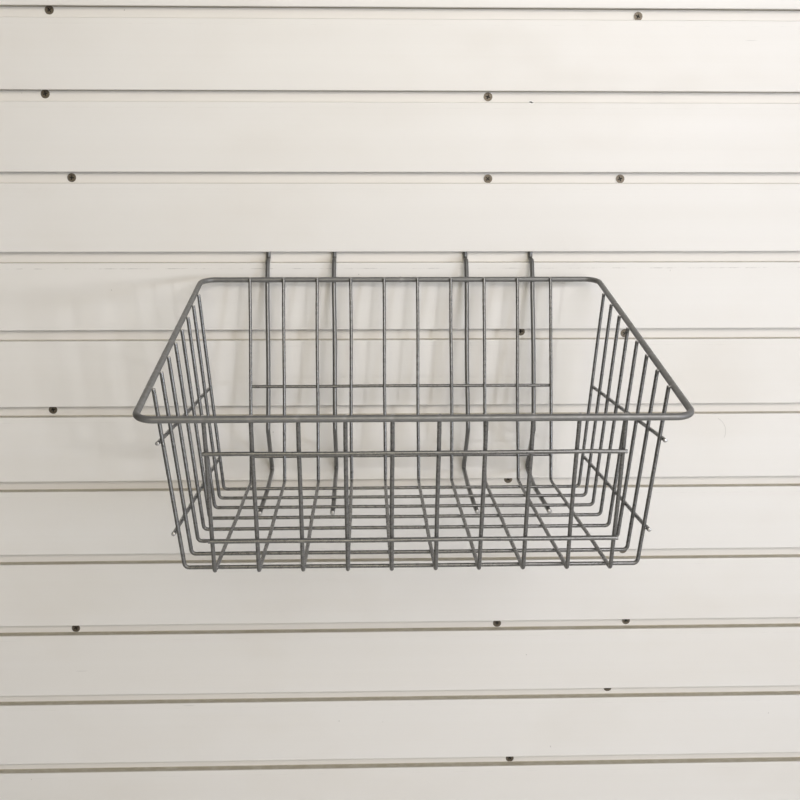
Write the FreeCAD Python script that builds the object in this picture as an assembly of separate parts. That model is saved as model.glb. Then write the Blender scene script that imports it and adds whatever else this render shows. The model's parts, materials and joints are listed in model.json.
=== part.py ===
import FreeCAD, Part
import math
import os
from FreeCAD import Vector

os.makedirs("parts", exist_ok=True)

# A slatwall panel for a shop: twelve interlocking PVC boards on upright timber battens,
# edge trims, countersunk screws in the grooves, and a wire basket hung in the fourth groove.
# Millimetres. X runs along the boards, Z is up, and the wall is the plane Y = 0.

# ---- panel ----
panel_width = 1220.0
slat_count = 12
slat_pitch = 76.2
slat_thickness = 19.0
groove_opening = 10.5        # clear height of a groove at its mouth
groove_depth = 9.0           # from the face to the screw flange
pocket_rise = 13.0           # how far the pocket goes up behind the lip
flange_step = 2.0            # the flange ends this far above the lip line
tongue_front_share = 0.32    # where the tongue stands in the web between groove and back
tongue_back_share = 0.7
tongue_height = 12.0         # above the lip line
tongue_fit = 0.2             # clearance round the tongue in its slot
edge_round = 1.0
lip_round = 0.8
inner_round = 0.6

# ---- battens and trims ----
batten_width = 50.0
batten_thickness = 20.0
end_batten_inset = 35.0      # batten centre from the board's end
inner_batten_x = (-333.0, 105.0, 227.0)
trim_wall = 2.0
end_trim_flange = 20.0
starter_face = 16.0          # face height of the starter strip under the first board
cap_gap = 1.0                # between the top tongue and the cap

# ---- screws ----
screw_head_r = 4.3
screw_shank_r = 2.0
screw_length = 28.0
screw_tip = 5.0
screw_tip_r = 0.4
screw_fit = 0.05
recess_reach = 2.3
recess_width = 1.1
recess_depth = 1.7
turn_per_groove = 23           # degrees; each screw's recess ends up turned its own way
turn_per_batten = 31
end_screw_offset = 11.0      # end battens: board screws inboard, wall holes outboard
wall_hole_r = 3.25
wall_hole_grooves = (1, 11)
cut_over = 1.0               # how far a cutter runs past a face

# Screws in the inner battens, driven by hand: groove number from the top, offset along the
# board from the batten's centre, and offset up from the middle of the groove.
inner_screws = (
    ((1, 3, 2.4), (2, -5, 2.2), (3, 16, 0.2), (6, -14, 1.0), (9, -3, -0.6), (12, 4, 0.5)),
    ((2, -20, 0.6), (3, -19, -0.7), (5, 16, 2.0), (7, 6, 2.4), (9, -3, -0.5), (11, 13, -0.7)),
    ((1, 1, -0.7), (3, -11, -0.7), (5, -1, -0.4), (8, 5, 2.4), (9, 11, 0.9), (10, -6, 2.3)),
)

# ---- basket ----
basket_groove = 4            # counted from the top
basket_x = 0.0
wire_r = 1.55
rim_wire_r = 2.5
hanger_wire_r = 2.1
weld_set = 0.2               # how far crossing wires are pressed together at a weld
rib_count = 10
rib_pitch = 32.2
rib_bend = 3.6
cross_count = 8
cross_pitch = 33.0
first_cross = 65.0           # distance out from the board's face
floor_drop = 217.7           # floor wires below the lip line
floor_back_gap = 13.6        # from the ribs' back bend to the first cross wire
floor_front_gap = 18.3
floor_side_gap = 24.4        # from the last rib to the cross wires' bend
rim_back = 15.7
rim_back_drop = 26.0
rim_flare_front = 36.7       # rim beyond the floor's bends
rim_flare_side = 22.1
rim_front_drop = 98.0
rim_corner = 13.0
rib_end_past = 1.0           # the ribs' ends beyond their contact with the rim
front_belt_shares = (0.569, 0.882)      # of the floor's depth, upper belt and lower belt
side_belt_shares = (0.575, 0.887)
back_belt_shares = (0.585, 0.89)
front_belt_overhang = 1.0    # beyond the last rib
side_belt_overhang = 6.0     # beyond the middle of the last cross wire
hanger_rib_steps = (-4, -2, 2, 4)   # in rib pitches from the middle
hook_clearance = 0.3
hook_rise = 9.0              # the hook's end above the lip line
hook_front_gap = 2.3         # between the hook's front leg and the face
hanger_bend = 4.0
kink_share = 0.7809          # of the floor's depth, where the hanger turns back to the board
foot_overhang = 9.0          # the foot's end beyond the third cross wire
foot_cross_wires = 3

# ---- worked out ----
back_y = -(batten_thickness + slat_thickness)
pocket_depth = 2 * (hanger_wire_r + hook_clearance)
lip_thickness = groove_depth - pocket_depth     # the lip that hangs in front of the pocket
tongue_front = groove_depth + tongue_front_share * (slat_thickness - groove_depth)
tongue_back = groove_depth + tongue_back_share * (slat_thickness - groove_depth)
face_height = slat_pitch - groove_opening
wall_hole_mid = (wall_hole_grooves[0] + wall_hole_grooves[1]) / 2.0
first_lip_z = (wall_hole_mid - slat_count) * slat_pitch + groove_opening / 2.0
panel_bottom = first_lip_z - groove_opening - starter_face
top_lip_z = first_lip_z + slat_count * slat_pitch
cap_bottom = top_lip_z - groove_opening
cap_top = top_lip_z + tongue_height + cap_gap + trim_wall
half_width = panel_width / 2.0
end_batten_x = half_width - end_batten_inset


def save(name, shape):
    """Write one node, after checking that every solid in it is sound."""
    solids = shape.Solids
    if not solids or not all(s.isValid() and s.Volume > 0 for s in solids):
        raise ValueError("bad shape: " + name)
    shape.exportStep("parts/" + name + ".step")


def lip_z(groove):
    """Height of the lip line over a groove, counted from 1 at the top."""
    return first_lip_z + (slat_count - groove) * slat_pitch


def rounded_face(corners, place):
    """A flat face from corners (a, b, radius); place turns (a, b) into a Vector."""
    edges = []
    count = len(corners)
    ends = []
    for i in range(count):
        a, b, radius = corners[i]
        here = Vector(a, b, 0)
        back = (Vector(corners[i - 1][0], corners[i - 1][1], 0) - here).normalize()
        ahead_corner = corners[(i + 1) % count]
        ahead = (Vector(ahead_corner[0], ahead_corner[1], 0) - here).normalize()
        if radius <= 0:
            ends.append((here, None, here))
            continue
        half = back.getAngle(ahead) / 2.0
        reach = radius / math.tan(half)
        centre = here + (back + ahead).normalize() * (radius / math.sin(half))
        middle = centre + (here - centre).normalize() * radius
        ends.append((here + back * reach, middle, here + ahead * reach))
    for i in range(count):
        start, middle, finish = ends[i]
        if middle is not None:
            edges.append(Part.Arc(place(start), place(middle), place(finish)).toShape())
        edges.append(Part.makeLine(place(finish), place(ends[(i + 1) % count][0])))
    return Part.Face(Part.Wire(edges))


def board(corners, lip_level):
    """Extrude a board section along X; section depth 0 is the face, height 0 the lip line."""
    def place(p):
        return Vector(-half_width, back_y + p.x, lip_level + p.y)
    return rounded_face(corners, place).extrude(Vector(panel_width, 0, 0))


def flange_corners():
    """The ledge, screw flange and tongue that every board but the cap carries, at the top."""
    return [
        (0, face_height, edge_round),
        (groove_depth, face_height, inner_round),
        (groove_depth, slat_pitch + flange_step, 0),
        (tongue_front, slat_pitch + flange_step, 0),
        (tongue_front, slat_pitch + tongue_height, inner_round),
        (tongue_back, slat_pitch + tongue_height, inner_round),
        (tongue_back, slat_pitch + flange_step, 0),
        (slat_thickness, slat_pitch + flange_step, 0),
    ]


def slat_corners():
    """A full board: lip, pocket and tongue slot below, ledge, flange and tongue above."""
    slot_front = tongue_front - tongue_fit
    slot_back = tongue_back + tongue_fit
    slot_top = tongue_height + tongue_fit
    return [(0, 0, lip_round)] + flange_corners() + [
        (slat_thickness, flange_step, 0),
        (slot_back, flange_step, 0),
        (slot_back, slot_top, 0),
        (slot_front, slot_top, 0),
        (slot_front, flange_step, 0),
        (groove_depth, flange_step, 0),
        (groove_depth, pocket_rise, inner_round),
        (lip_thickness, pocket_rise, inner_round),
        (lip_thickness, 0, lip_round),
    ]


def starter_corners():
    """The starter strip: a short face that carries the first groove's ledge and flange."""
    base = slat_pitch - groove_opening - starter_face
    return [(0, base, edge_round)] + flange_corners() + [(slat_thickness, base, 0)]


def screw_places(batten):
    """X and Z of each screw in one batten, with the groove that it stands in."""
    side = -1 if batten == 0 else 1
    if batten in (0, 4):
        x = side * (end_batten_x - end_screw_offset)
        return [(g, x, lip_z(g) - groove_opening / 2.0) for g in range(slat_count + 1)]
    centre = inner_batten_x[batten - 1]
    return [(g, centre + dx, lip_z(g) - groove_opening / 2.0 + dz)
            for g, dx, dz in inner_screws[batten - 1]]


def wall_holes():
    """Through holes for the wall bolts, in the end battens and the flanges before them."""
    holes = []
    for side in (-1, 1):
        for groove in wall_hole_grooves:
            x = side * (end_batten_x + end_screw_offset)
            z = lip_z(groove) - groove_opening / 2.0
            start = Vector(x, back_y + groove_depth - cut_over, z)
            hole = Part.makeCylinder(wall_hole_r, cut_over - start.y, start, Vector(0, 1, 0))
            holes.append((groove, hole))
    return holes


def screw_body(x, z, grow):
    """A countersunk screw without its recess; grow makes the hole that it sits in."""
    head_depth = screw_head_r - screw_shank_r
    top = Vector(x, back_y + groove_depth, z)
    into = Vector(0, 1, 0)
    head = Part.makeCone(screw_head_r, screw_shank_r, head_depth, top, into)
    shank_length = screw_length - head_depth - screw_tip
    shank_r = screw_shank_r + grow
    shank = Part.makeCylinder(shank_r, shank_length, top + into * head_depth, into)
    tip_start = top + into * (screw_length - screw_tip)
    if grow > 0:
        return head.fuse([shank, Part.makeCylinder(shank_r, screw_tip + grow, tip_start, into)])
    return head.fuse([shank, Part.makeCone(shank_r, screw_tip_r, screw_tip, tip_start, into)])


def screw(x, z, turn):
    """One screw with a cross recess, its slots turned as the driver left them."""
    mid = Vector(x, back_y + groove_depth, z)
    cuts = []
    for angle in (turn, turn + 90):
        slot = Part.makeBox(2 * recess_reach, recess_depth + cut_over, recess_width,
                            mid + Vector(-recess_reach, -cut_over, -recess_width / 2.0))
        cuts.append(slot.rotate(mid, Vector(0, 1, 0), angle))
    return screw_body(x, z, 0.0).removeSplitter().cut(cuts)


def build_panel():
    """Boards, starter, cap, end trims, battens and the screws of each batten."""
    screws = [screw_places(b) for b in range(5)]
    holes = {g: [] for g in range(slat_count + 1)}
    for places in screws:
        for groove, x, z in places:
            holes[groove].append(screw_body(x, z, screw_fit))
    for groove, hole in wall_holes():
        holes[groove].append(hole)

    for number in range(1, slat_count + 1):
        level = first_lip_z + (number - 1) * slat_pitch
        solid = board(slat_corners(), level).cut(holes[slat_count - number])
        save("slat_%02d" % number, solid)
    starter = board(starter_corners(), first_lip_z - slat_pitch).cut(holes[slat_count])
    save("starter_strip", starter)

    def cap_place(p):
        return Vector(-half_width, back_y + p.x, p.y)
    depth = -back_y
    cap = rounded_face([
        (0, cap_bottom, 0),
        (0, cap_top, edge_round),
        (depth, cap_top, 0),
        (depth, cap_top - trim_wall, 0),
        (trim_wall, cap_top - trim_wall, 0),
        (trim_wall, cap_bottom, 0),
    ], cap_place).extrude(Vector(panel_width, 0, 0))
    save("top_cap", cap)

    for name, side in (("end_trim_left", -1), ("end_trim_right", 1)):
        def trim_place(p, side=side):
            return Vector(side * p.x, p.y, panel_bottom)
        trim = rounded_face([
            (half_width, 0, 0),
            (half_width + trim_wall, 0, 0),
            (half_width + trim_wall, back_y - trim_wall, edge_round),
            (half_width - end_trim_flange, back_y - trim_wall, inner_round),
            (half_width - end_trim_flange, back_y, 0),
            (half_width, back_y, 0),
        ], trim_place).extrude(Vector(0, 0, cap_top - panel_bottom))
        save(name, trim)

    columns = (-end_batten_x,) + inner_batten_x + (end_batten_x,)
    batten_height = cap_top - trim_wall - panel_bottom
    for number, x in enumerate(columns):
        batten = Part.makeBox(batten_width, batten_thickness, batten_height,
                              Vector(x - batten_width / 2.0, -batten_thickness, panel_bottom))
        cutters = [screw_body(sx, sz, screw_fit) for g, sx, sz in screws[number]]
        if number in (0, len(columns) - 1):
            cutters += [hole for g, hole in wall_holes()]
        save("batten_%d" % (number + 1), batten.cut(cutters))
        group = [screw(sx, sz, turn_per_groove * g + turn_per_batten * number)
                 for g, sx, sz in screws[number]]
        save("screws_batten_%d" % (number + 1), Part.makeCompound(group))


basket_lip_z = lip_z(basket_groove)
last_rib = (rib_count - 1) / 2.0 * rib_pitch
last_cross = first_cross + (cross_count - 1) * cross_pitch
floor_back = first_cross - floor_back_gap
floor_front = last_cross + floor_front_gap
floor_half_width = last_rib + floor_side_gap
rim_front = floor_front + rim_flare_front
rim_half_width = floor_half_width + rim_flare_side
front_belt_drops = [share * floor_drop for share in front_belt_shares]
side_belt_drops = [share * floor_drop for share in side_belt_shares]
back_belt_drops = [share * floor_drop for share in back_belt_shares]
kink_drop = kink_share * floor_drop
hook_front = hanger_wire_r + hook_front_gap


def at(x, out, drop):
    """A basket point: x along the boards, out from the face, drop below the lip line."""
    return Vector(basket_x + x, back_y - out, basket_lip_z - drop)


def wire(points, radius, bend):
    """A round wire along straight runs, with an arc of the bend radius at each corner."""
    edges = []
    start = points[0]
    for i in range(1, len(points) - 1):
        here = points[i]
        back = (points[i - 1] - here).normalize()
        ahead = (points[i + 1] - here).normalize()
        half = back.getAngle(ahead) / 2.0
        reach = bend / math.tan(half)
        centre = here + (back + ahead).normalize() * (bend / math.sin(half))
        middle = centre + (here - centre).normalize() * bend
        first = here + back * reach
        last = here + ahead * reach
        edges.append(Part.makeLine(start, first))
        edges.append(Part.Arc(first, middle, last).toShape())
        start = last
    edges.append(Part.makeLine(start, points[-1]))
    return sweep(edges, radius)


def sweep(edges, radius):
    """Sweep a circle along joined edges, and check the volume against the length."""
    path = Part.Wire(edges)
    first = path.OrderedEdges[0]
    start = first.valueAt(first.FirstParameter)
    along = first.tangentAt(first.FirstParameter)
    section = Part.Wire(Part.makeCircle(radius, start, along))
    solid = path.makePipeShell([section], True, True)
    wanted = math.pi * radius * radius * path.Length
    if abs(solid.Volume - wanted) > 0.01 * wanted:
        raise ValueError("wire volume is off: %.1f for %.1f" % (solid.Volume, wanted))
    return solid


def straight_wire(start, finish, radius):
    return Part.makeCylinder(radius, (finish - start).Length, start, finish - start)


def wall_top(foot, centre, gap, inward):
    """Where a straight wall wire from foot runs past a rim centre at the given gap.

    foot and centre are (sideways, drop); inward is +1 or -1 along the sideways axis.
    The wire's line is the tangent from foot to a circle of radius gap round the centre.
    """
    side = centre[0] - foot[0]
    rise = foot[1] - centre[1]
    distance = math.hypot(side, rise)
    lean = math.atan2(side, rise) + inward * math.asin(gap / distance)
    reach = math.sqrt(distance * distance - gap * gap)
    return (foot[0] + reach * math.sin(lean), foot[1] - reach * math.cos(lean), lean)


rim_gap = rim_wire_r + wire_r - weld_set
floor_cross_drop = floor_drop + 2 * wire_r - weld_set
back_top = wall_top((floor_back, floor_drop), (rim_back, rim_back_drop), rim_gap, 1)
front_top = wall_top((floor_front, floor_drop), (rim_front, rim_front_drop), rim_gap, -1)


def rim_drop(out):
    share = (out - rim_back) / (rim_front - rim_back)
    return rim_back_drop + share * (rim_front_drop - rim_back_drop)


def cross_out(number):
    return first_cross + number * cross_pitch


def side_top(out):
    """Top of a cross wire's side leg: (sideways, drop, lean)."""
    foot = (floor_half_width, floor_cross_drop)
    return wall_top(foot, (rim_half_width, rim_drop(out)), rim_gap, -1)


def past(top, extra):
    """The end of a leg, carried on past its rim contact."""
    return (top[0] + extra * math.sin(top[2]), top[1] - extra * math.cos(top[2]))


def back_out(drop):
    """How far out the back legs of the ribs are at a given drop."""
    return floor_back + (floor_drop - drop) * math.tan(back_top[2])


def front_out(drop):
    return floor_front + (floor_drop - drop) * math.tan(front_top[2])


def side_half_width(out, drop):
    return floor_half_width + (floor_cross_drop - drop) * math.tan(side_top(out)[2])


def touch_corner(before, after, touch_out, drop, bend):
    """The corner of a bend whose arc comes no nearer the face than touch_out."""
    corner = Vector(touch_out, -drop, 0)
    for _ in range(12):
        back = (before - corner).normalize()
        ahead = (after - corner).normalize()
        half = back.getAngle(ahead) / 2.0
        toward = (back + ahead).normalize() * (bend / math.sin(half))
        corner = Vector(touch_out + bend - toward.x, -drop, 0)
    return corner.x


def build_rim():
    """A closed loop with rounded corners, sloping down to the front."""
    corners = [
        (-rim_half_width, rim_back), (-rim_half_width, rim_front),
        (rim_half_width, rim_front), (rim_half_width, rim_back),
    ]
    points = [at(x, out, rim_drop(out)) for x, out in corners]
    edges = []
    seam = (points[3] + points[0]) / 2.0
    start = seam
    for i in range(4):
        here = points[i]
        back = (points[i - 1] - here).normalize()
        ahead = (points[(i + 1) % 4] - here).normalize()
        centre = here + (back + ahead) * rim_corner
        middle = centre + (here - centre).normalize() * rim_corner
        first = here + back * rim_corner
        last = here + ahead * rim_corner
        edges.append(Part.makeLine(start, first))
        edges.append(Part.Arc(first, middle, last).toShape())
        start = last
    edges.append(Part.makeLine(start, seam))
    return sweep(edges, rim_wire_r)


def build_basket():
    """Rim, front-to-back ribs, cross wires, the two belts on each face, and the hangers."""
    save("basket_rim", build_rim())

    back_end = past(back_top, rib_end_past)
    front_end = past(front_top, rib_end_past)
    for number in range(rib_count):
        x = (number - (rib_count - 1) / 2.0) * rib_pitch
        rib = wire([
            at(x, back_end[0], back_end[1]),
            at(x, floor_back, floor_drop),
            at(x, floor_front, floor_drop),
            at(x, front_end[0], front_end[1]),
        ], wire_r, rib_bend)
        save("rib_%02d" % (number + 1), rib)

    for number in range(cross_count):
        out = cross_out(number)
        end = past(side_top(out), weld_set)
        cross = wire([
            at(-end[0], out, end[1]),
            at(-floor_half_width, out, floor_cross_drop),
            at(floor_half_width, out, floor_cross_drop),
            at(end[0], out, end[1]),
        ], wire_r, rib_bend)
        save("cross_wire_%d" % (number + 1), cross)

    stack = 2 * wire_r - weld_set
    rib_half_span = last_rib + wire_r
    for level, name in enumerate(("upper", "lower")):
        drop = front_belt_drops[level]
        out = front_out(drop) + stack / math.cos(front_top[2])
        reach = rib_half_span + front_belt_overhang
        belt = straight_wire(at(-reach, out, drop), at(reach, out, drop), wire_r)
        save("front_belt_" + name, belt)
        drop = back_belt_drops[level]
        out = back_out(drop) - stack / math.cos(back_top[2])
        belt = straight_wire(at(-rib_half_span, out, drop), at(rib_half_span, out, drop), wire_r)
        save("back_belt_" + name, belt)
        drop = side_belt_drops[level]
        stations = [cross_out(number) for number in range(cross_count)]
        stations = [stations[0] - side_belt_overhang] + stations + [stations[-1] + side_belt_overhang]
        for hand, side in (("left", -1), ("right", 1)):
            points = [at(side * (side_half_width(s, drop) + stack / math.cos(side_top(s)[2])), s, drop)
                      for s in stations]
            curve = Part.BSplineCurve()
            curve.interpolate(points)
            save("side_belt_%s_%s" % (hand, name), sweep([curve.toShape()], wire_r))

    hook_out = -(lip_thickness + groove_depth) / 2.0
    hook_drop = groove_opening - hanger_wire_r - hook_clearance
    hanger_at_rim = rim_back - (rim_wire_r + hanger_wire_r - weld_set)
    belt_gap = stack + wire_r + hanger_wire_r - weld_set
    belt_drop = back_belt_drops[0]
    hanger_at_belt = back_out(belt_drop) - belt_gap / math.cos(back_top[2])
    slope = (hanger_at_belt - hanger_at_rim) / (belt_drop - rim_back_drop)
    kink_out = hanger_at_belt + slope * (kink_drop - belt_drop)
    foot_drop = floor_cross_drop + wire_r + hanger_wire_r - weld_set
    foot_start = cross_out(0) - wire_r - hanger_bend
    foot_end = cross_out(foot_cross_wires - 1) + foot_overhang
    touch_out = hanger_wire_r + hook_clearance
    touch_drop = floor_drop
    touch = touch_corner(Vector(kink_out, -kink_drop, 0), Vector(foot_start, -foot_drop, 0),
                         touch_out, touch_drop, hanger_bend)
    for number, steps in enumerate(hanger_rib_steps):
        x = steps * rib_pitch
        hanger = wire([
            at(x, hook_out, -hook_rise),
            at(x, hook_out, hook_drop),
            at(x, hook_front, hook_drop),
            at(x, hanger_at_rim, rim_back_drop),
            at(x, kink_out, kink_drop),
            at(x, touch, touch_drop),
            at(x, foot_start, foot_drop),
            at(x, foot_end, foot_drop),
        ], hanger_wire_r, hanger_bend)
        save("hanger_%d" % (number + 1), hanger)


build_panel()
build_basket()
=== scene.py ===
import json
import math

import bpy
import numpy as np
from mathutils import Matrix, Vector


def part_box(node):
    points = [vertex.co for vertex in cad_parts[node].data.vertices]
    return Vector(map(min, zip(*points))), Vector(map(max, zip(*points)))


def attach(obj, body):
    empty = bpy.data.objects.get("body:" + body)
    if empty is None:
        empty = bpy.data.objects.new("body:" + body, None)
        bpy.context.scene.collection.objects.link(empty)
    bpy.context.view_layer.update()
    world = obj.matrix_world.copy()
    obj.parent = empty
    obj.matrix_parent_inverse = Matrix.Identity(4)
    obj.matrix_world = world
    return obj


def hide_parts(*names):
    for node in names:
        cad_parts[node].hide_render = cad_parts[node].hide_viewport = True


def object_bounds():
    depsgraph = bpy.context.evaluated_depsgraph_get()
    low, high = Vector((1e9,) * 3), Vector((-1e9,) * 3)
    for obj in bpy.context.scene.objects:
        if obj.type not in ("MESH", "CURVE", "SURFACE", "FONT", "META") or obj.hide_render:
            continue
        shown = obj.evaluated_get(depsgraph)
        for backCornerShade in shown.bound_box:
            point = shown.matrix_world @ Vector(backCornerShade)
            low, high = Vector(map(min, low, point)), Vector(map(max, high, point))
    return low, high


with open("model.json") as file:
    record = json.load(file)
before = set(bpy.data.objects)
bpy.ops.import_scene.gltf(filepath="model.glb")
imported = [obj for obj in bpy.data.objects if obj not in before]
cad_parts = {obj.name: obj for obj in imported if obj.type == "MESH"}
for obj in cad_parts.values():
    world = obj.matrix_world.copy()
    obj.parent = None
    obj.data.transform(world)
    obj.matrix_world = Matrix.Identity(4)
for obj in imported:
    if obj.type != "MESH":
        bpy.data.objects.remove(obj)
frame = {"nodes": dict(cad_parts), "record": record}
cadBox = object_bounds()
nodes = frame["nodes"]
scene = bpy.context.scene
print("frame loaded:", len(nodes), "nodes")

# the hung basket's own zero: the board's face and the lip line over its groove
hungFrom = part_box("slat_09")[0]
faceY, lipZ = hungFrom.y, hungFrom.z
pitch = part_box("slat_09")[0].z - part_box("slat_08")[0].z
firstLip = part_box("slat_01")[0].z

camera = {"place": (-0.0342, -1.1275, 0.2022), "down": 0.1742, "right": 0.0313, "lens": 49.74,
          "sensor": 36.0, "clip": (0.02, 60.0)}
lamps = {
    "windowLow": {"place": (1.25, -2.75, -0.30), "aim": (0.0, 0.0, 0.0), "size": 0.12,
                  "watts": 7.8, "tint": (1.0, 1.0, 1.0)},
    "windowSide": {"place": (2.15, -2.0, 0.15), "aim": (0.0, 0.0, 0.0), "size": 0.30,
                   "watts": 14.4, "tint": (0.77, 0.85, 1.0)},
    "doorway": {"place": (0.6, -1.6, 0.65), "aim": (0.0, 0.0, 0.2), "size": 0.8,
                "watts": 11.4, "tint": (1.0, 0.97, 1.0)},
    "warmRoom": {"place": (-0.1, -2.0, 0.75), "aim": (0.0, 0.0, 0.2), "size": 0.9,
                 "watts": 7.5, "tint": (1.0, 0.90, 0.635)},
    "ceilingSoft": {"place": (0.5, -1.6, 2.0), "aim": (0.0, 0.0, 0.2), "size": 1.6,
                    "watts": 8.1, "tint": (1.0, 1.0, 0.94)},
}
room = {"dark": (0.045, 0.041, 0.036), "bright": (0.70, 0.68, 0.66), "from": 0.30, "to": 0.90}
mixShare, mixFirst, mixSecond, mixOut = 0, 6, 7, 2  # a colour Mix node's sockets


def makeCamera(look):
    cam = bpy.data.objects.new("camera", bpy.data.cameras.new("camera"))
    scene.collection.objects.link(cam)
    ahead = Vector((math.sin(look["right"]) * math.cos(look["down"]),
                    math.cos(look["right"]) * math.cos(look["down"]), -math.sin(look["down"])))
    cam.rotation_mode = "QUATERNION"
    cam.rotation_quaternion = ahead.to_track_quat("-Z", "Y")
    cam.location = look["place"]
    cam.data.lens = look["lens"]
    cam.data.sensor_width = look["sensor"]
    cam.data.clip_start, cam.data.clip_end = look["clip"]
    scene.camera = cam


def makeLamp(name, lamp):
    light = bpy.data.lights.new(name, "AREA")
    light.shape = "DISK"
    light.size, light.energy, light.color = lamp["size"], lamp["watts"], lamp["tint"]
    holder = bpy.data.objects.new(name, light)
    scene.collection.objects.link(holder)
    holder.location = lamp["place"]
    holder.rotation_mode = "QUATERNION"
    holder.rotation_quaternion = (Vector(lamp["aim"]) - Vector(lamp["place"])).to_track_quat("-Z", "Y")


def makeRoom(look):
    # the room round the wall: dark towards the left, bright towards the windows on the right
    scene.world = bpy.data.worlds.new("room")
    scene.world.use_nodes = True
    tree = scene.world.node_tree
    place = tree.nodes.new("ShaderNodeTexCoord")
    axes = tree.nodes.new("ShaderNodeSeparateXYZ")
    share = tree.nodes.new("ShaderNodeMapRange")
    share.interpolation_type = "SMOOTHSTEP"
    colour = tree.nodes.new("ShaderNodeMix")
    colour.data_type = "RGBA"
    share.inputs["From Min"].default_value = look["from"]
    share.inputs["From Max"].default_value = look["to"]
    colour.inputs[mixFirst].default_value = (*look["dark"], 1.0)
    colour.inputs[mixSecond].default_value = (*look["bright"], 1.0)
    tree.links.new(place.outputs["Generated"], axes.inputs[0])
    tree.links.new(axes.outputs["X"], share.inputs["Value"])
    tree.links.new(share.outputs[0], colour.inputs[mixShare])
    tree.links.new(colour.outputs[mixOut], tree.nodes["Background"].inputs["Color"])
    tree.nodes["Background"].inputs["Strength"].default_value = 1.0


makeCamera(camera)
for lampName, lamp in lamps.items():
    makeLamp(lampName, lamp)
makeRoom(room)
scene.view_settings.view_transform = "Standard"
print("camera and", len(lamps), "lamps set")


class Part:
    # one socket in a finish's node tree; sums written on it add Math nodes
    def __init__(self, finish, socket):
        self.finish, self.socket = finish, socket

    def maths(self, operation, *others, clamp=False):
        settings = {"operation": operation, "use_clamp": clamp}
        return self.finish.add("ShaderNodeMath", settings, [self, *others])

    def __add__(self, other):
        return self.maths("ADD", other)

    def __sub__(self, other):
        return self.maths("SUBTRACT", other)

    def __mul__(self, other):
        return self.maths("MULTIPLY", other)

    def __truediv__(self, other):
        return self.maths("DIVIDE", other)

    def __gt__(self, other):
        return self.maths("GREATER_THAN", other)

    def __lt__(self, other):
        return self.maths("LESS_THAN", other)

    def __rsub__(self, other):
        return self.finish.add("ShaderNodeMath", {"operation": "SUBTRACT"}, [other, self])

    __radd__ = __add__
    __rmul__ = __mul__

    def clamped(self, more=0.0):
        # the value and more, held between 0 and 1
        return self.maths("ADD", more, clamp=True)

    def step(self, low, high):
        # 0 below low, 1 above high, smooth between
        return self.finish.add("ShaderNodeMapRange", {"interpolation_type": "SMOOTHSTEP"},
                               {"Value": self, "From Min": low, "From Max": high})

    def near(self, middle, width):
        # 1 at middle, falling to 0 at width on both sides
        return 1.0 - (self - middle).maths("ABSOLUTE").step(0.0, width)


class Finish:
    # a named material: its object coordinates, the nodes added to it and its shader
    def __init__(self, name, colour, roughness, metallic=0.0):
        self.material = bpy.data.materials.new(name)
        self.material.use_nodes = True
        self.tree = self.material.node_tree
        self.shader = self.tree.nodes["Principled BSDF"]
        self.shader.inputs["Base Color"].default_value = (*colour, 1.0)
        self.shader.inputs["Roughness"].default_value = roughness
        self.shader.inputs["Metallic"].default_value = metallic
        self.place = self.add("ShaderNodeTexCoord", out="Object")
        self.x, self.y, self.z = [self.add("ShaderNodeSeparateXYZ", None, [self.place], axis)
                                  for axis in "XYZ"]

    def add(self, kind, settings=None, values=(), out=0):
        node = self.tree.nodes.new(kind)
        for key, value in (settings or {}).items():
            setattr(node, key, value)
        for key, value in (values.items() if isinstance(values, dict) else enumerate(values)):
            if isinstance(value, Part):
                self.tree.links.new(value.socket, node.inputs[key])
            else:
                node.inputs[key].default_value = value
        return Part(self, node.outputs[out])

    def mix(self, share, first, second):
        # colours: first where share is 0, second where it is 1
        values = [c if isinstance(c, Part) else (*c, 1.0) for c in (first, second)]
        sockets = {mixShare: share, mixFirst: values[0], mixSecond: values[1]}
        return self.add("ShaderNodeMix", {"data_type": "RGBA"}, sockets, mixOut)

    def stretched(self, scales):
        return self.add("ShaderNodeVectorMath", {"operation": "MULTIPLY"}, [self.place, scales])

    def noise(self, scales, detail=3.0, roughness=0.55):
        # 0 to 1 around 0.5; scales are in cells for each metre, one for each axis
        return self.add("ShaderNodeTexNoise", None,
                        {"Vector": self.stretched(scales), "Scale": 1.0, "Detail": detail,
                         "Roughness": roughness})

    def specks(self, scales, size, share):
        # small spots, one in some of the cells: size in cells, share of the cells that have one
        cells = {"Vector": self.stretched(scales), "Scale": 1.0}
        away = self.add("ShaderNodeTexVoronoi", None, cells, "Distance")
        which = self.add("ShaderNodeTexVoronoi", None, cells, "Color")
        pick = self.add("ShaderNodeSeparateColor", None, [which])
        return (1.0 - away.step(size * 0.5, size)) * (pick < share)

    def feed(self, name, value):
        self.tree.links.new(value.socket, self.shader.inputs[name])

    def bump(self, height, distance, strength):
        made = self.add("ShaderNodeBump", None,
                        {"Height": height, "Distance": distance, "Strength": strength})
        self.feed("Normal", made)


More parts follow.
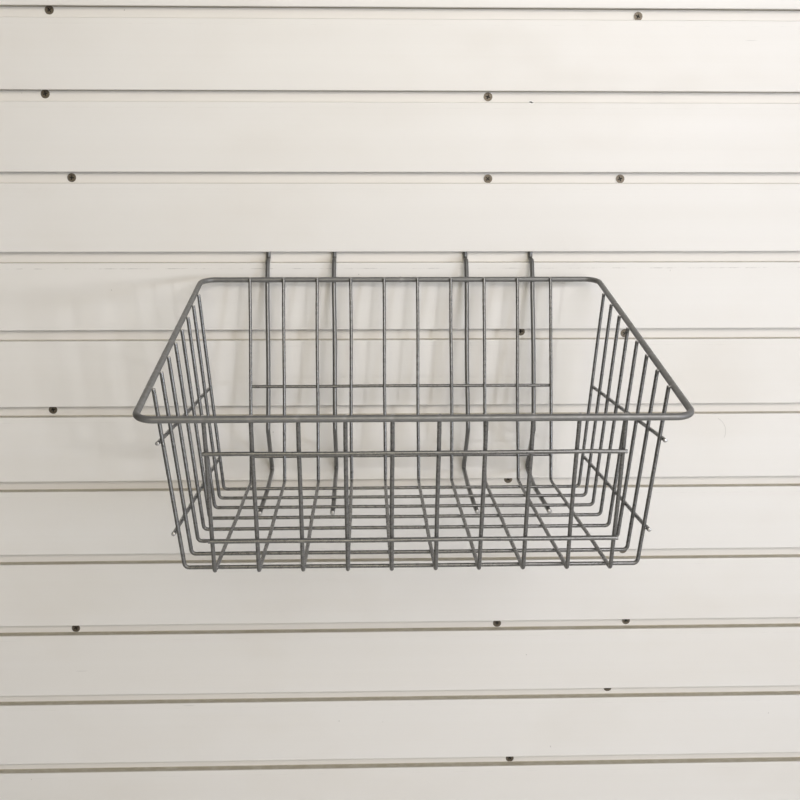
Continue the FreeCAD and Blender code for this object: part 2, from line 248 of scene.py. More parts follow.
boardLook = {
    "white": (0.810, 0.793, 0.768), "aged": (0.735, 0.700, 0.645), "grimeAndShade": (0.400, 0.355, 0.255),
    "litGrooveFloor": (0.865, 0.838, 0.797), "grey": (0.300, 0.290, 0.275), "roughness": 0.42,
    "faceMm": 65.7,  # from the lip line up to the ledge over the face
    "grooveMm": (1.5, 8.0), "pocketMm": (11.0, 14.0), "cornerMm": (7.6, 9.0),
    "dustAndShadeRows": (3.0, 10.5), "dustAndShade": (0.10, 0.66), "mostDustAndShade": 0.85, "pocketShadeShare": 0.85,
    "scuffMm": 60.1, "scuffedBoard": 7.0, "scuff": (0.10, 0.55),
    "scratchMiddle": (0.315, -0.024), "scratchRadius": 0.0155, "scratchWidth": 0.00032,
    "scratchFrom": (0.322, -0.030),
    "chipMiddle": (0.1265, 0.3000), "chipFlat": 2.2, "chipRim": (0.0022, 0.0036),
    "chipHole": (0.0012, 0.0024), "chipRimHighlight": (0.93, 0.92, 0.90), "chipHollowShade": (0.03, 0.025, 0.02),
    "waveHeight": 0.00055,
}


def makeBoardFinish(look):
    f = Finish("satinBoard", look["white"], look["roughness"])
    row = (f.z - firstLip) / pitch  # which board, counted from 0 at the bottom, and how far up it
    board = row.maths("FLOOR")
    up = (row - board) * (pitch * 1000.0)  # millimetres above the board's lip line
    depth = (f.y - faceY) * 1000.0  # millimetres behind the face
    tone = f.add("ShaderNodeTexWhiteNoise", {"noise_dimensions": "1D"}, {"W": board})
    drawn = f.noise((1.3, 40.0, 420.0), 4.0, 0.6)  # fine lines along the board, from the die
    bands = f.noise((0.5, 6.0, 62.0), 2.0, 0.5)
    smudge = f.noise((5.0, 5.0, 8.0), 3.0, 0.6)
    patch = f.noise((95.0, 140.0, 200.0), 4.0, 0.65)
    ageing = (smudge.step(0.42, 0.78) * 0.38 + (tone - 0.5) * 0.16
              + (bands - 0.5) * 0.30 + (drawn - 0.5) * 0.16).clamped(0.08)
    colour = f.mix(ageing, look["white"], look["aged"])
    # dust and painted shade on the ledge, more on the lower boards; painted light on the groove floor;
    # painted shade in the pocket under the lip and in the ledge's back corner
    low = 1.0 - row.step(*look["dustAndShadeRows"])
    ledge = up.near(look["faceMm"], 1.7) * depth.step(0.2, 2.4)
    least, more = look["dustAndShade"]
    # dust and painted shade on the ledge's top, strongest on the lower boards
    ledgeDustAndShade = ledge * (least + more * low) * (0.86 + 0.24 * patch.step(0.35, 0.62))
    colour = f.mix(ledgeDustAndShade.maths("MINIMUM", look["mostDustAndShade"]), colour, look["grimeAndShade"])
    # painted light: the groove floor is painted lighter than the face
    litGroove = depth.step(*look["grooveMm"]) * (up > look["faceMm"] + 0.5)
    colour = f.mix(litGroove * 0.9, colour, look["litGrooveFloor"])
    # painted shade: a warm dark line in the pocket behind and under the lip
    pocketShade = depth.step(0.6, 3.0) * (1.0 - up.step(*look["pocketMm"])) * look["pocketShadeShare"]
    colour = f.mix(pocketShade, colour, look["grimeAndShade"])
    # painted shade in the inner corner at the back of the ledge
    backCornerShade = depth.step(*look["cornerMm"]) * up.near(look["faceMm"], 0.7) * 0.5
    colour = f.mix(backCornerShade, colour, look["grimeAndShade"])
    # rubbed line where goods slide under the groove, strongest on one board
    streaks = f.noise((70.0, 1.0, 900.0), 4.0, 0.75).step(0.47, 0.60)
    rubbed = up.near(look["scuffMm"], 0.55) * streaks
    least, more = look["scuff"]
    strongest = least + more * board.near(look["scuffedBoard"], 0.6)
    colour = f.mix(rubbed * strongest * (depth < 0.4), colour, look["grey"])
    # specks, short nicks, and one hair-thin curved scratch
    spots = f.specks((46.0, 46.0, 46.0), 0.030, 0.16) * 0.75
    nicks = f.specks((75.0, 30.0, 21.0), 0.035, 0.05) * 0.65
    streaky = f.specks((9.0, 30.0, 160.0), 0.07, 0.05) * 0.30
    right, over = f.x - look["scratchMiddle"][0], f.z - look["scratchMiddle"][1]
    curl = (right * right + over * over).maths("SQRT").near(look["scratchRadius"], look["scratchWidth"])
    hair = curl * (f.x > look["scratchFrom"][0]) * (f.z > look["scratchFrom"][1])
    colour = f.mix(spots.maths("MAXIMUM", nicks), colour, look["grey"])
    colour = f.mix(streaky.maths("MAXIMUM", hair * 0.55), colour, look["grey"])
    # a chip out of one ledge, drawn only in colour: a painted highlight round its rim and painted shade
    # in its hollow
    right, over = f.x - look["chipMiddle"][0], f.z - look["chipMiddle"][1]
    chip = (right * right + over * over * look["chipFlat"]).maths("SQRT")
    colour = f.mix(1.0 - chip.step(*look["chipRim"]), colour, look["chipRimHighlight"])
    colour = f.mix(1.0 - chip.step(*look["chipHole"]), colour, look["chipHollowShade"])
    f.feed("Base Color", colour)
    rough = look["roughness"] + (bands - 0.5) * 0.22 + (drawn - 0.5) * 0.16 + ledgeDustAndShade * 0.35
    rough = rough + smudge.step(0.5, 0.8) * 0.12
    f.feed("Roughness", rough.clamped())
    waves = f.noise((2.2, 9.0, 24.0), 2.0, 0.45)
    grain = f.noise((1500.0, 1500.0, 1500.0), 2.0)
    height = drawn * 0.10 + waves + grain * 0.05 - spots * 0.25 - hair * 0.35
    f.bump(height, look["waveHeight"], 0.85)
    return f.material


trimLook = {"white": (0.810, 0.795, 0.772), "aged": (0.72, 0.68, 0.62), "marks": (0.32, 0.31, 0.29),
            "roughness": 0.40, "alongTrim": (300.0, 300.0, 1.5), "alongCap": (1.5, 300.0, 300.0)}


def makeTrimFinish(name, look, scales):
    # edge trims and cap: same plastic, drawn lines along their length, small marks
    f = Finish(name, look["white"], look["roughness"])
    drawn = f.noise(scales, 4.0, 0.6)
    smudge = f.noise((6.0, 6.0, 6.0), 3.0, 0.6)
    marks = f.specks((60.0, 60.0, 60.0), 0.035, 0.12)
    ageing = (smudge.step(0.4, 0.8) * 0.35 + (drawn - 0.5) * 0.2).clamped(0.05)
    colour = f.mix(ageing, look["white"], look["aged"])
    f.feed("Base Color", f.mix(marks * 0.6, colour, look["marks"]))
    rough = look["roughness"] + (drawn - 0.5) * 0.2 + smudge.step(0.5, 0.8) * 0.12
    f.feed("Roughness", rough.clamped())
    f.bump(drawn * 0.3 + f.noise((900.0, 900.0, 900.0), 2.0) * 0.08, 0.0003, 0.8)
    return f.material


timberLook = {"early": (0.66, 0.50, 0.32), "late": (0.42, 0.26, 0.13), "fibre": (0.50, 0.36, 0.22),
              "knots": (0.20, 0.10, 0.05), "roughness": 0.66}


def makeTimberFinish(look):
    # sawn softwood: growth rings as bent sheets along Z, darker late wood, fine saw marks across
    f = Finish("sawnSoftwood", look["early"], look["roughness"])
    bend = f.noise((9.0, 9.0, 1.4), 3.0, 0.5)
    across = f.x * 34.0 + f.y * 61.0 + bend * 3.2
    rings = (across * 2.1).maths("SINE") * 0.5 + 0.5
    late = rings.maths("POWER", 3.0)
    fibre = f.noise((620.0, 620.0, 14.0), 4.0, 0.65)
    colour = f.mix(late * 0.75, look["early"], look["late"])
    colour = f.mix(fibre.step(0.35, 0.75) * 0.45, colour, look["fibre"])
    knots = f.specks((14.0, 14.0, 3.6), 0.16, 0.30)
    f.feed("Base Color", f.mix(knots * 0.8, colour, look["knots"]))
    f.feed("Roughness", look["roughness"] + fibre * 0.2)
    saw = f.noise((30.0, 30.0, 820.0), 2.0, 0.5)
    f.bump(fibre * 0.6 + saw * 0.35 - late * 0.25, 0.0005, 0.9)
    return f.material


screwLook = {"plate": (0.180, 0.155, 0.120), "brown": (0.065, 0.048, 0.031),
             "recessDark": (0.008, 0.007, 0.006), "recess": (0.0092, 0.0100), "roughness": 0.36,
             "metallic": 0.70}


def makeScrewFinish(look):
    # dull plated steel, browned, with dirt and painted shade packed in the cross recess
    f = Finish("dullZinc", look["plate"], look["roughness"], look["metallic"])
    patch = f.noise((900.0, 900.0, 900.0), 4.0, 0.7)
    brown = patch.step(0.45, 0.68)
    # dirt and painted shade in the cross recess, nearly black
    recessDirtAndShade = (f.y - faceY).step(*look["recess"])
    colour = f.mix(brown * 0.7, look["plate"], look["brown"])
    f.feed("Base Color", f.mix(recessDirtAndShade * 0.95, colour, look["recessDark"]))
    f.feed("Metallic", (look["metallic"] - brown * 0.35 - recessDirtAndShade * 0.6).clamped())
    f.feed("Roughness", look["roughness"] + patch * 0.28 + recessDirtAndShade * 0.2)
    f.bump(patch, 0.00012, 0.8)
    return f.material


wireLook = {
    "basket": {"grey": 0.190, "roughness": 0.28, "metallic": 0.62},
    "rim": {"grey": 0.205, "roughness": 0.42, "metallic": 0.45},
    "hanger": {"grey": 0.180, "roughness": 0.32, "metallic": 0.55},
    "tint": (1.0, 1.0, 0.985), "shade": (0.72, 0.71, 0.69),
    "steel": (0.62, 0.61, 0.60), "chips": (0.055, 0.05, 0.045),
}


def makeWireFinish(name, kind, look):
    # grey enamel with metal in it; bare steel where the wire is cut or the welder's tips pressed it
    grey, roughness = look[kind]["grey"], look[kind]["roughness"]
    enamel = tuple(grey * share for share in look["tint"])
    f = Finish(name, enamel, roughness, look[kind]["metallic"])
    mottle = f.noise((210.0, 210.0, 210.0), 4.0, 0.65)
    grain = f.noise((2600.0, 2600.0, 2600.0), 2.0, 0.5)
    bare = f.add("ShaderNodeAttribute", {"attribute_name": "bare"}, (), "Fac")
    shaded = tuple(grey * share for share in look["shade"])
    colour = f.mix(mottle.step(0.30, 0.72) * 0.45, enamel, shaded)
    chips = f.specks((150.0, 150.0, 150.0), 0.10, 0.045)
    colour = f.mix(chips * 0.7, colour, look["chips"])
    worn = bare * (0.55 + 0.9 * (mottle - 0.4))
    f.feed("Base Color", f.mix(worn.clamped(), colour, look["steel"]))
    f.feed("Roughness", (roughness + (mottle - 0.5) * 0.22 + (grain - 0.5) * 0.10).clamped())
    f.bump(grain * 0.25 + mottle * 0.6 - chips * 0.4, 0.00006, 0.8)
    return f.material


finishes = {
    "pvc_board": makeBoardFinish(boardLook),
    "pvc_trim": makeTrimFinish("satinTrim", trimLook, trimLook["alongTrim"]),
    "pvc_cap": makeTrimFinish("satinCap", trimLook, trimLook["alongCap"]),
    "batten_timber": makeTimberFinish(timberLook),
    "zinc_screw": makeScrewFinish(screwLook),
    "basket_wire": makeWireFinish("greyEnamel", "basket", wireLook),
    "rim_wire": makeWireFinish("greyEnamelRim", "rim", wireLook),
    "hanger_wire": makeWireFinish("greyEnamelHanger", "hanger", wireLook),
}


def dress(node, material):
    slots = node.data.materials
    if len(slots):
        for index in range(len(slots)):
            slots[index] = material
    else:
        slots.append(material)


slotOf = {s["node"]: s["material_slot"] for s in frame["record"]["subparts"]}
for name, node in nodes.items():
    dress(node, finishes["pvc_cap"] if name == "top_cap" else finishes[slotOf[name]])
print("finishes on", len(nodes), "nodes")


wires = {  # millimetres; set is how far crossing wires are pressed into each other
    "wireR": 1.55, "rimR": 2.50, "hangerR": 2.10, "set": 0.20,
    "bend": 3.6, "hangerBend": 4.0, "rimBend": 13.0, "bendPoints": 13,
    "step": 1.1, "rimStep": 1.0, "hangerStep": 1.3, "beltPoints": 160,
    "sides": 12, "rimSides": 16, "hangerSides": 14,
    "wander": 0.35, "wanderUp": 0.12, "beltWander": 0.3, "hangerWander": 0.5,
    "wanderLengths": (21.0, 37.0, 66.0), "wanderFade": 25.0,
    "dent": 0.05, "dentReach": 1.5, "dentBare": 0.12, "chamfer": 0.16, "sharpDegrees": 50.0,
    "seam": 0.13, "seamReach": 1.1, "seamBare": 0.25, "seamBareReach": 2.5,
}
basket = {  # millimetres out from the face and down from the lip line
    "floorDrop": 217.7, "floorBack": 51.4, "floorFront": 314.3, "floorHalf": 169.3,
    "rimBack": 15.7, "rimBackDrop": 26.0, "rimFront": 351.0, "rimFrontDrop": 98.0, "rimHalf": 191.4,
    "firstCross": 65.0, "crossPitch": 33.0, "crossCount": 8,
    "ribPitch": 32.2, "ribCount": 10, "ribEndPast": 1.0,
    "frontBelts": (123.871, 192.011), "sideBelts": (125.178, 193.100), "backBelts": (127.355, 193.753),
    "frontBeltReach": 147.45, "backBeltReach": 146.45, "sideBeltPast": 6.0,
}
hanger = {  # the route is (out, down) from the hook's tip to the end under the floor
    "x": (-128.8, -64.4, 64.4, 128.8), "hookLength": 30.0, "floorWelds": 3,
    "route": ((-6.6, -9.0), (-6.6, 8.1), (4.4, 8.1), (11.3, 26.0), (37.84, 170.0), (-1.42, 217.7),
              (59.45, 224.05), (140.0, 224.05)),
}
weld = {"size": (1.15, 1.15, 0.75), "spread": (0.85, 1.15), "round": 8, "rings": (-62, -22, 22, 62),
        "bare": 0.30}
seeds = np.random.default_rng(41)


def place(points):
    # millimetres (x, out from the face, drop below the lip line) to metres in the frame
    p = np.asarray(points, float)
    return np.stack([p[..., 0], faceY * 1000.0 - p[..., 1], lipZ * 1000.0 - p[..., 2]], -1) / 1000.0


def unit(v):
    return v / np.linalg.norm(v, axis=-1, keepdims=True)


def bentLine(corners, bend, step, closed=False):
    # straight runs between corners, each corner a circular arc of the bend radius,
    # resampled at even steps
    corners = np.asarray(corners, float)
    count = len(corners)
    pieces = []
    for i in range(count):
        if not closed and i in (0, count - 1):
            pieces.append(corners[i][None])
            continue
        here = corners[i]
        back, ahead = unit(corners[i - 1] - here), unit(corners[(i + 1) % count] - here)
        half = math.acos(float(np.clip(np.dot(back, ahead), -1, 1))) / 2
        middle = here + unit(back + ahead) * bend / math.sin(half)
        out, side = unit(here - middle), unit(ahead - back)
        turn = np.linspace(-1, 1, wires["bendPoints"])[:, None] * (math.pi / 2 - half)
        pieces.append(middle + bend * (np.cos(turn) * out + np.sin(turn) * side))
    line = np.concatenate(pieces)
    if closed:
        start = (line[0] + line[-1]) / 2  # the seam is in the middle of the closing run
        line = np.concatenate([start[None], line, start[None]])
    gone = np.concatenate([[0], np.cumsum(np.linalg.norm(np.diff(line, axis=0), axis=1))])
    at = np.linspace(0, gone[-1], int(gone[-1] / step) + 2)
    return np.stack([np.interp(at, gone, line[:, k]) for k in range(3)], -1), at


def wobble(at, amount):
    # slow sideways wander of a hand-jigged wire: three sines, fading to nothing at both ends
    lengths = wires["wanderLengths"]
    phases = seeds.uniform(0, 6.28, len(lengths))
    waves = sum(np.sin(at / length + phase) for length, phase in zip(lengths, phases))
    ends = np.clip(np.minimum(at, at[-1] - at) / wires["wanderFade"], 0, 1)
    return amount * waves / len(lengths) * ends


def dents(line, places, reach):
    # 1 at each place along the line, falling off as a bell of the given reach
    if not len(places):
        return np.zeros(len(line))
    away = np.linalg.norm(line[:, None] - np.asarray(places)[None], axis=2)
    bells = np.exp(-((away - away.min(0)) / reach) ** 2)
    return np.where(away < 8 * reach, bells, 0).max(1)


def meshFrom(name, verts, quads, body, finish, bare=None, caps=()):
    # a smooth mesh on one body; bare, where it is given, is each vertex's share of bare steel
    mesh = bpy.data.meshes.new(name)
    mesh.from_pydata(verts.tolist(), [], quads.tolist() + [list(c) for c in caps])
    mesh.polygons.foreach_set("use_smooth", [True] * len(mesh.polygons))
    if bare is not None:
        mesh.set_sharp_from_angle(angle=math.radians(wires["sharpDegrees"]))
        shares = mesh.attributes.new("bare", "FLOAT", "POINT")
        shares.data.foreach_set("value", np.asarray(bare, np.float32))
    mesh.validate()
    piece = bpy.data.objects.new(name, mesh)
    scene.collection.objects.link(piece)
    mesh.materials.append(finish)
    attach(piece, body)
    return piece


def gridQuads(rows, columns, closedRows=False):
    # quads of a grid whose columns go round; row i to row i + 1
    i = np.arange(rows if closedRows else rows - 1)[:, None]
    j = np.arange(columns)[None]
    nextRow, nextColumn = (i + 1) % rows, (j + 1) % columns
    corners = (i * columns + j, i * columns + nextColumn, nextRow * columns + nextColumn,
               nextRow * columns + j)
    return np.stack(np.broadcast_arrays(*corners), -1).reshape(-1, 4)


def repeated(quads, perPiece, count):
    # the same quads for each of count pieces that have perPiece vertices
    return (quads[None] + perPiece * np.arange(count)[:, None, None]).reshape(-1, 4)


def wirePiece(name, line, at, side, radius, sides, slotName, pressed, closed=False):
    # a circle carried along the line: point = line + r (cos t N + sin t B), B the side axis and
    # N = B x tangent; r shrinks at the two cut ends and a little where the welder pressed
    if closed:
        line, at = line[:-1], at[:-1]
        tangent = unit(np.roll(line, -1, 0) - np.roll(line, 1, 0))
    else:
        tangent = unit(np.gradient(line, axis=0))
    normal = unit(np.cross(side, tangent))
    side = unit(np.cross(tangent, normal))
    press = dents(line, pressed, wires["dentReach"])
    r = radius * (1.0 - wires["dent"] * press)
    bare = wires["dentBare"] * press
    if closed:
        # the butt weld where the loop closes: a raised, rubbed ring
        length = at[-1] + (at[1] - at[0])
        fromSeam = np.minimum(at, length - at)
        r = r * (1.0 + wires["seam"] * np.exp(-(fromSeam / wires["seamReach"]) ** 2))
        bare = bare + wires["seamBare"] * np.exp(-(fromSeam / wires["seamBareReach"]) ** 2)
    else:
        # chamfered ends: two more rings at each end, then a flat cap
        chamfer = radius * wires["chamfer"]
        line = np.concatenate([line[:1], line[:1] + tangent[:1] * chamfer, line[1:-1],
                               line[-1:] - tangent[-1:] * chamfer, line[-1:]])
        normal, side = [np.concatenate([v[:1], v, v[-1:]]) for v in (normal, side)]
        r = np.concatenate([[radius - chamfer], r[:1], r[1:-1], r[-1:], [radius - chamfer]])
        bare = np.concatenate([[1.0], [0.7], bare[1:-1], [0.7], [1.0]])
    t = np.arange(sides) * 2 * math.pi / sides
    ring = np.cos(t)[None, :, None] * normal[:, None] + np.sin(t)[None, :, None] * side[:, None]
    verts = line[:, None] + r[:, None, None] * ring
    last = (len(line) - 1) * sides
    caps = () if closed else (range(sides - 1, -1, -1), range(last, last + sides))
    return meshFrom(name, place(verts.reshape(-1, 3)), gridQuads(len(line), sides, closed), "basket",
                    finishes[slotName], np.repeat(np.clip(bare, 0, 1), sides), caps)


def beadsPiece(name, welds, look, slotName):
    # squeezed-out weld metal: an egg at each contact,
    # point = middle + a cos v (cos u along + sin u across) + b sin v (along x across),
    # a and b the half sizes
    middles, along, across = [np.array(v, float) for v in zip(*welds)]
    along, across = unit(along), unit(across - along * (across * along).sum(-1, keepdims=True))
    up = np.cross(along, across)
    count, around, rings = len(middles), look["round"], len(look["rings"])
    u = np.arange(around) * 2 * math.pi / around
    v = np.radians(look["rings"])[:, None]
    grow = seeds.uniform(*look["spread"], (count, 1, 1, 3))
    egg = np.stack([np.cos(v) * np.cos(u), np.cos(v) * np.sin(u), np.sin(v) + 0 * u], -1)
    shape = egg[None] * np.asarray(look["size"]) * grow
    verts = (middles[:, None, None] + shape[..., :1] * along[:, None, None]
             + shape[..., 1:2] * across[:, None, None] + shape[..., 2:] * up[:, None, None])
    each = around * rings
    quads = repeated(gridQuads(rings, around), each, count)
    caps = [range(each * k + around - 1, each * k - 1, -1) for k in range(count)]
    caps += [range(each * (k + 1) - around, each * (k + 1)) for k in range(count)]
    meshFrom(name, place(verts.reshape(-1, 3)), quads, "basket", finishes[slotName],
             np.full(count * each, look["bare"]), caps)


def legTop(foot, rimCentre, gap, inward):
    # the wall wire's line: the tangent from its foot to a circle of radius gap round the rim's
    # centre; gives its nearest point to the rim and its lean
    sideways, rise = rimCentre[0] - foot[0], foot[1] - rimCentre[1]
    away = math.hypot(sideways, rise)
    lean = math.atan2(sideways, rise) + inward * math.asin(gap / away)
    reach = math.sqrt(away * away - gap * gap)
    return foot[0] + reach * math.sin(lean), foot[1] - reach * math.cos(lean), lean


def onPast(top, extra):
    # the wall wire's end, run on by extra past its nearest point to the rim
    return top[0] + extra * math.sin(top[2]), top[1] - extra * math.cos(top[2])


def rimDrop(out):
    # the rim's centre line slopes down to the front
    slope = (basket["rimFrontDrop"] - basket["rimBackDrop"]) / (basket["rimFront"] - basket["rimBack"])
    return basket["rimBackDrop"] + (out - basket["rimBack"]) * slope


rimGap = wires["rimR"] + wires["wireR"] - wires["set"]
stack = 2 * wires["wireR"] - wires["set"]
crossFloor = basket["floorDrop"] + stack
crossOut = basket["firstCross"] + basket["crossPitch"] * np.arange(basket["crossCount"])
ribX = (np.arange(basket["ribCount"]) - (basket["ribCount"] - 1) / 2) * basket["ribPitch"]
rimShare = wires["rimR"] / rimGap  # how far a rim weld is on the way from the rim to the wire
floorFront, floorBack = [(basket[k], basket["floorDrop"]) for k in ("floorFront", "floorBack")]
rimFront, rimBack = [(basket[k], basket[k + "Drop"]) for k in ("rimFront", "rimBack")]
backTop = legTop(floorBack, rimBack, rimGap, 1)
frontTop = legTop(floorFront, rimFront, rimGap, -1)
sideTops = [legTop((basket["floorHalf"], crossFloor), (basket["rimHalf"], rimDrop(o)), rimGap, -1)
            for o in crossOut]
rightward, outward, downward = (1.0, 0.0, 0.0), (0.0, 1.0, 0.0), (0.0, 0.0, 1.0)
welds = []  # each one's middle, the direction along one wire and the direction across it


def backAt(drop):
    return basket["floorBack"] + (basket["floorDrop"] - drop) * math.tan(backTop[2])


def frontAt(drop):
    return basket["floorFront"] + (basket["floorDrop"] - drop) * math.tan(frontTop[2])


def sideAt(k, drop):
    return basket["floorHalf"] + (crossFloor - drop) * math.tan(sideTops[k][2])


def thinWire(name, line, at, side, pressed, replaced):
    # a rib, cross wire or belt, shown in place of the plain one
    piece = wirePiece(name, line, at, side, wires["wireR"], wires["sides"], "basket_wire", pressed)
    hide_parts(replaced)


def makeRibs():
    # down the back wall, along the floor and up the front wall, in one plane
    for number, x in enumerate(ribX, 1):
        back, front = onPast(backTop, basket["ribEndPast"]), onPast(frontTop, basket["ribEndPast"])
        line, at = bentLine([(x, *back), (x, *floorBack), (x, *floorFront), (x, *front)],
                            wires["bend"], wires["step"])
        line[:, 0] += wobble(at, wires["wander"])
        line[:, 2] += wobble(at, wires["wanderUp"])
        pressed = [(x, o, basket["floorDrop"]) for o in crossOut]
        thinWire("ribWire_%02d" % number, line, at, rightward, pressed, "rib_%02d" % number)
        for o in crossOut:
            welds.append(((x, o, basket["floorDrop"] + stack / 2), rightward, outward))
        for top, rim in ((backTop, rimBack), (frontTop, rimFront)):
            middle = (x, rim[0] + (top[0] - rim[0]) * rimShare, rim[1] + (top[1] - rim[1]) * rimShare)
            welds.append((middle, rightward, downward))


def makeCrossWires():
    # down one side wall, across under the ribs and up the other, in one plane
    half = basket["floorHalf"]
    for number, (o, top) in enumerate(zip(crossOut, sideTops), 1):
        end = onPast(top, wires["set"])
        line, at = bentLine([(-end[0], o, end[1]), (-half, o, crossFloor), (half, o, crossFloor),
                             (end[0], o, end[1])], wires["bend"], wires["step"])
        line[:, 1] += wobble(at, wires["wander"])
        line[:, 2] += wobble(at, wires["wanderUp"])
        pressed = [(x, o, crossFloor) for x in ribX]
        thinWire("crossWire_%d" % number, line, at, outward, pressed, "cross_wire_%d" % number)
        aside = basket["rimHalf"] + (top[0] - basket["rimHalf"]) * rimShare
        drop = rimDrop(o) + (top[1] - rimDrop(o)) * rimShare
        for side in (-1, 1):
            welds.append(((side * aside, o, drop), outward, downward))


def makeRim():
    # a rectangle with rounded corners, sloping down to the front
    turns = ((-1, "rimBack"), (-1, "rimFront"), (1, "rimFront"), (1, "rimBack"))
    corners = [(side * basket["rimHalf"], basket[k], rimDrop(basket[k])) for side, k in turns]
    line, at = bentLine(corners, wires["rimBend"], wires["rimStep"], True)
    tilt = math.atan2(rimFront[1] - rimBack[1], rimFront[0] - rimBack[0])
    pressed = [(x, o, rimDrop(o)) for x in ribX for o in (basket["rimBack"], basket["rimFront"])]
    pressed += [(s * basket["rimHalf"], o, rimDrop(o)) for o in crossOut for s in (-1, 1)]
    piece = wirePiece("rimLoop", line, at, (0.0, -math.sin(tilt), math.cos(tilt)), wires["rimR"],
                      wires["rimSides"], "rim_wire", pressed, True)
    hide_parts("basket_rim")


def makeWallBelt(face, name, drop, wallAt, lean, side, t):
    # straight, across the outer side of the front or back wall's wires; t goes from -1 to 1 along it
    out = wallAt(drop) + side * stack / math.cos(lean)
    line = np.concatenate([t * basket[face + "BeltReach"], t * 0 + out, t * 0 + drop], 1)
    at = line[:, 0] - line[0, 0]
    line[:, 2] += wobble(at, wires["beltWander"])
    pressed = [(p, out, drop) for p in ribX]
    thinWire("%sBelt_%s" % (face, name), line, at, outward, pressed, "%s_belt_%s" % (face, name))
    for p in ribX:
        welds.append(((p, (out + wallAt(drop)) / 2, drop), rightward, downward))


def makeSideBelts(name, drop, t):
    # a quartic through the outer face of every cross wire at this height
    half = [sideAt(k, drop) + stack / math.cos(top[2]) for k, top in enumerate(sideTops)]
    curve = np.polyfit(crossOut, half, 4)
    out = crossOut.mean() + t * (crossOut[-1] - crossOut.mean() + basket["sideBeltPast"])
    for hand, side in (("left", -1), ("right", 1)):
        line = np.concatenate([side * np.polyval(curve, out), out, t * 0 + drop], 1)
        at = out[:, 0] - out[0, 0]
        line[:, 2] += wobble(at, wires["beltWander"])
        pressed = [(side * h, o, drop) for h, o in zip(half, crossOut)]
        thinWire("sideBelt_%s_%s" % (hand, name), line, at, downward, pressed,
                 "side_belt_%s_%s" % (hand, name))
        for k, (h, o) in enumerate(zip(half, crossOut)):
            welds.append(((side * (h + sideAt(k, drop)) / 2, o, drop), outward, downward))


def makeBelts():
    t = np.linspace(-1, 1, wires["beltPoints"])[:, None]
    for level, name in enumerate(("upper", "lower")):
        makeWallBelt("front", name, basket["frontBelts"][level], frontAt, frontTop[2], 1, t)
        makeWallBelt("back", name, basket["backBelts"][level], backAt, backTop[2], -1, t)
        makeSideBelts(name, basket["sideBelts"][level], t)


def makeHangers():
    # hook, slant down behind the back wall, bend to the boards, then forwards under the floor
    route, beltDrop = hanger["route"], basket["backBelts"][0]
    rimWeld = route[3]  # the route passes behind the rim here
    away = stack + wires["wireR"] + wires["hangerR"] - wires["set"]
    atBelt = backAt(beltDrop) - away / math.cos(backTop[2])
    for number, x in enumerate(hanger["x"], 1):
        line, at = bentLine([(x, *p) for p in route], wires["hangerBend"], wires["hangerStep"])
        hook = hanger["hookLength"]  # the hook itself stays true
        line[:, 0] += wobble(at, wires["hangerWander"]) * np.clip((at - hook) / hook, 0, 1)
        pressed = [(x, *rimWeld), (x, atBelt, beltDrop)]
        piece = wirePiece("hangerWire_%d" % number, line, at, rightward, wires["hangerR"],
                          wires["hangerSides"], "hanger_wire", pressed)
        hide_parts("hanger_%d" % number)
        rimOut = (rimWeld[0] + basket["rimBack"]) / 2 - wires["set"]
        welds.append(((x, rimOut, basket["rimBackDrop"]), rightward, downward))
        beltOut = atBelt + wires["hangerR"] - wires["set"] / 2
        welds.append(((x, beltOut, beltDrop), rightward, downward))
        for o in crossOut[:hanger["floorWelds"]]:
            floorWeld = (x, o, crossFloor + wires["wireR"] - wires["set"] / 2)
            welds.append((floorWeld, rightward, outward))


makeRim()
makeRibs()
makeCrossWires()
makeBelts()
makeHangers()
beadsPiece("weldBeads", welds, weld, "basket_wire")
print("basket wires and", len(welds), "welds made")

burr = {"radius": 4.55, "ragged": 0.10, "height": 0.55, "sunk": 0.05, "width": 0.42,
        "waves": (3, 7, 11), "stepsRound": 40, "stepsAcross": 7}
headSlice, screwGap = 0.0001, 0.02  # metres: how thick the head's rim is, how far screws stand apart


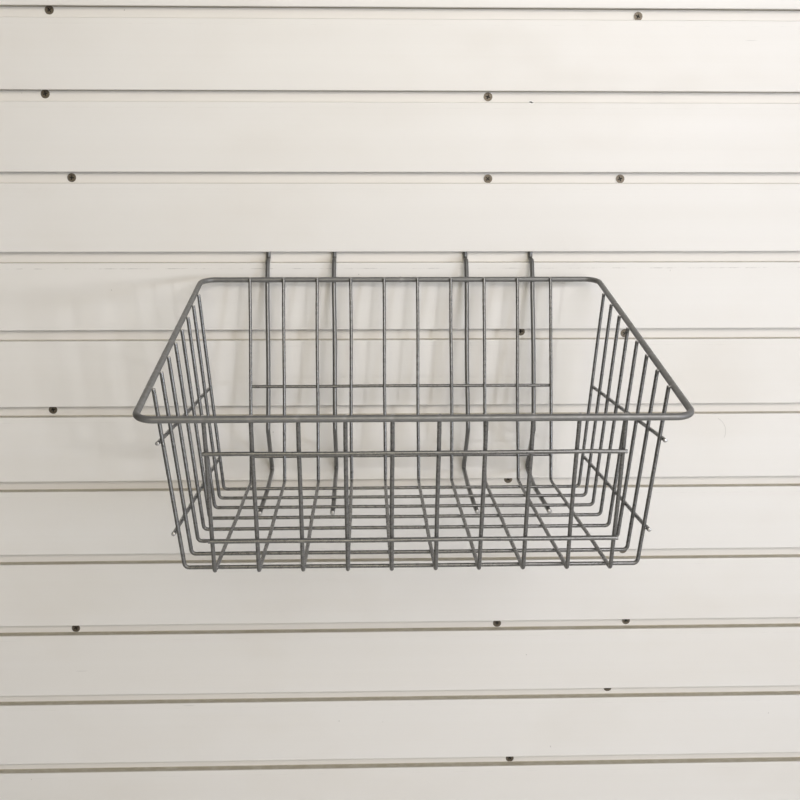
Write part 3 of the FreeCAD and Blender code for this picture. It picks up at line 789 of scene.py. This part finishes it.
def screwMiddles(node):
    # the heads of one batten's screws: vertices at the head's plane, grouped by height
    co = np.empty(len(node.data.vertices) * 3, np.float32)
    node.data.vertices.foreach_get("co", co)
    co = co.reshape(-1, 3)
    head = co[co[:, 1] < co[:, 1].min() + headSlice]
    head = head[np.argsort(head[:, 2])]
    groups = np.split(head, np.flatnonzero(np.diff(head[:, 2]) > screwGap) + 1)
    return np.array([(g.min(0) + g.max(0)) / 2 for g in groups])


def makeBurrs(name, node, look):
    # plastic pushed up round a head: a half-round bank on a circle,
    # its height a ragged bell round one side
    middles = screwMiddles(node)[:, None, None] * 1000.0
    count, around, across = len(middles), look["stepsRound"], look["stepsAcross"]
    turn = np.linspace(0, 2 * math.pi, around, endpoint=False)
    facing = seeds.uniform(0, 2 * math.pi, count)[:, None]
    ragged = sum(np.sin(k * turn + seeds.uniform(0, 6.28, (count, 1))) for k in look["waves"])
    ragged = ragged / len(look["waves"])
    bank = np.clip(0.30 + 0.55 * np.cos(turn - facing) + 0.28 * ragged, 0.02, 1.0)[:, :, None]
    ragged = ragged[:, :, None]
    t = np.linspace(0, math.pi, across)
    turn = turn[:, None]
    r = look["radius"] + look["ragged"] * ragged - look["width"] * (0.6 + 0.5 * bank) * np.cos(t)
    high = look["height"] * np.sin(t) * bank
    verts = np.stack([middles[..., 0] + r * np.cos(turn), middles[..., 1] + look["sunk"] - high,
                      middles[..., 2] + r * np.sin(turn)], -1) / 1000.0
    quads = repeated(gridQuads(around, across, True), around * across, count)
    meshFrom(name, verts.reshape(-1, 3), quads, "panel", finishes["pvc_trim"])


for number in range(1, 6):
    makeBurrs("screwBurrs_%d" % number, nodes["screws_batten_%d" % number], burr)
print("screw burrs made")

floorLook = {"drop": 0.0006, "half": 9.0, "colour": (0.70, 0.69, 0.67), "roughness": 0.6}


def makeFloor(look):
    # one flat square just under the panel
    level, half = cadBox[0].z - look["drop"], look["half"]
    mesh = bpy.data.meshes.new("floor")
    corners = [(x * half, y * half, level) for x, y in ((-1, -1), (1, -1), (1, 1), (-1, 1))]
    mesh.from_pydata(corners, [], [(0, 1, 2, 3)])
    mesh.materials.append(Finish("paleFloor", look["colour"], look["roughness"]).material)
    piece = bpy.data.objects.new("floor", mesh)
    scene.collection.objects.link(piece)


makeFloor(floorLook)
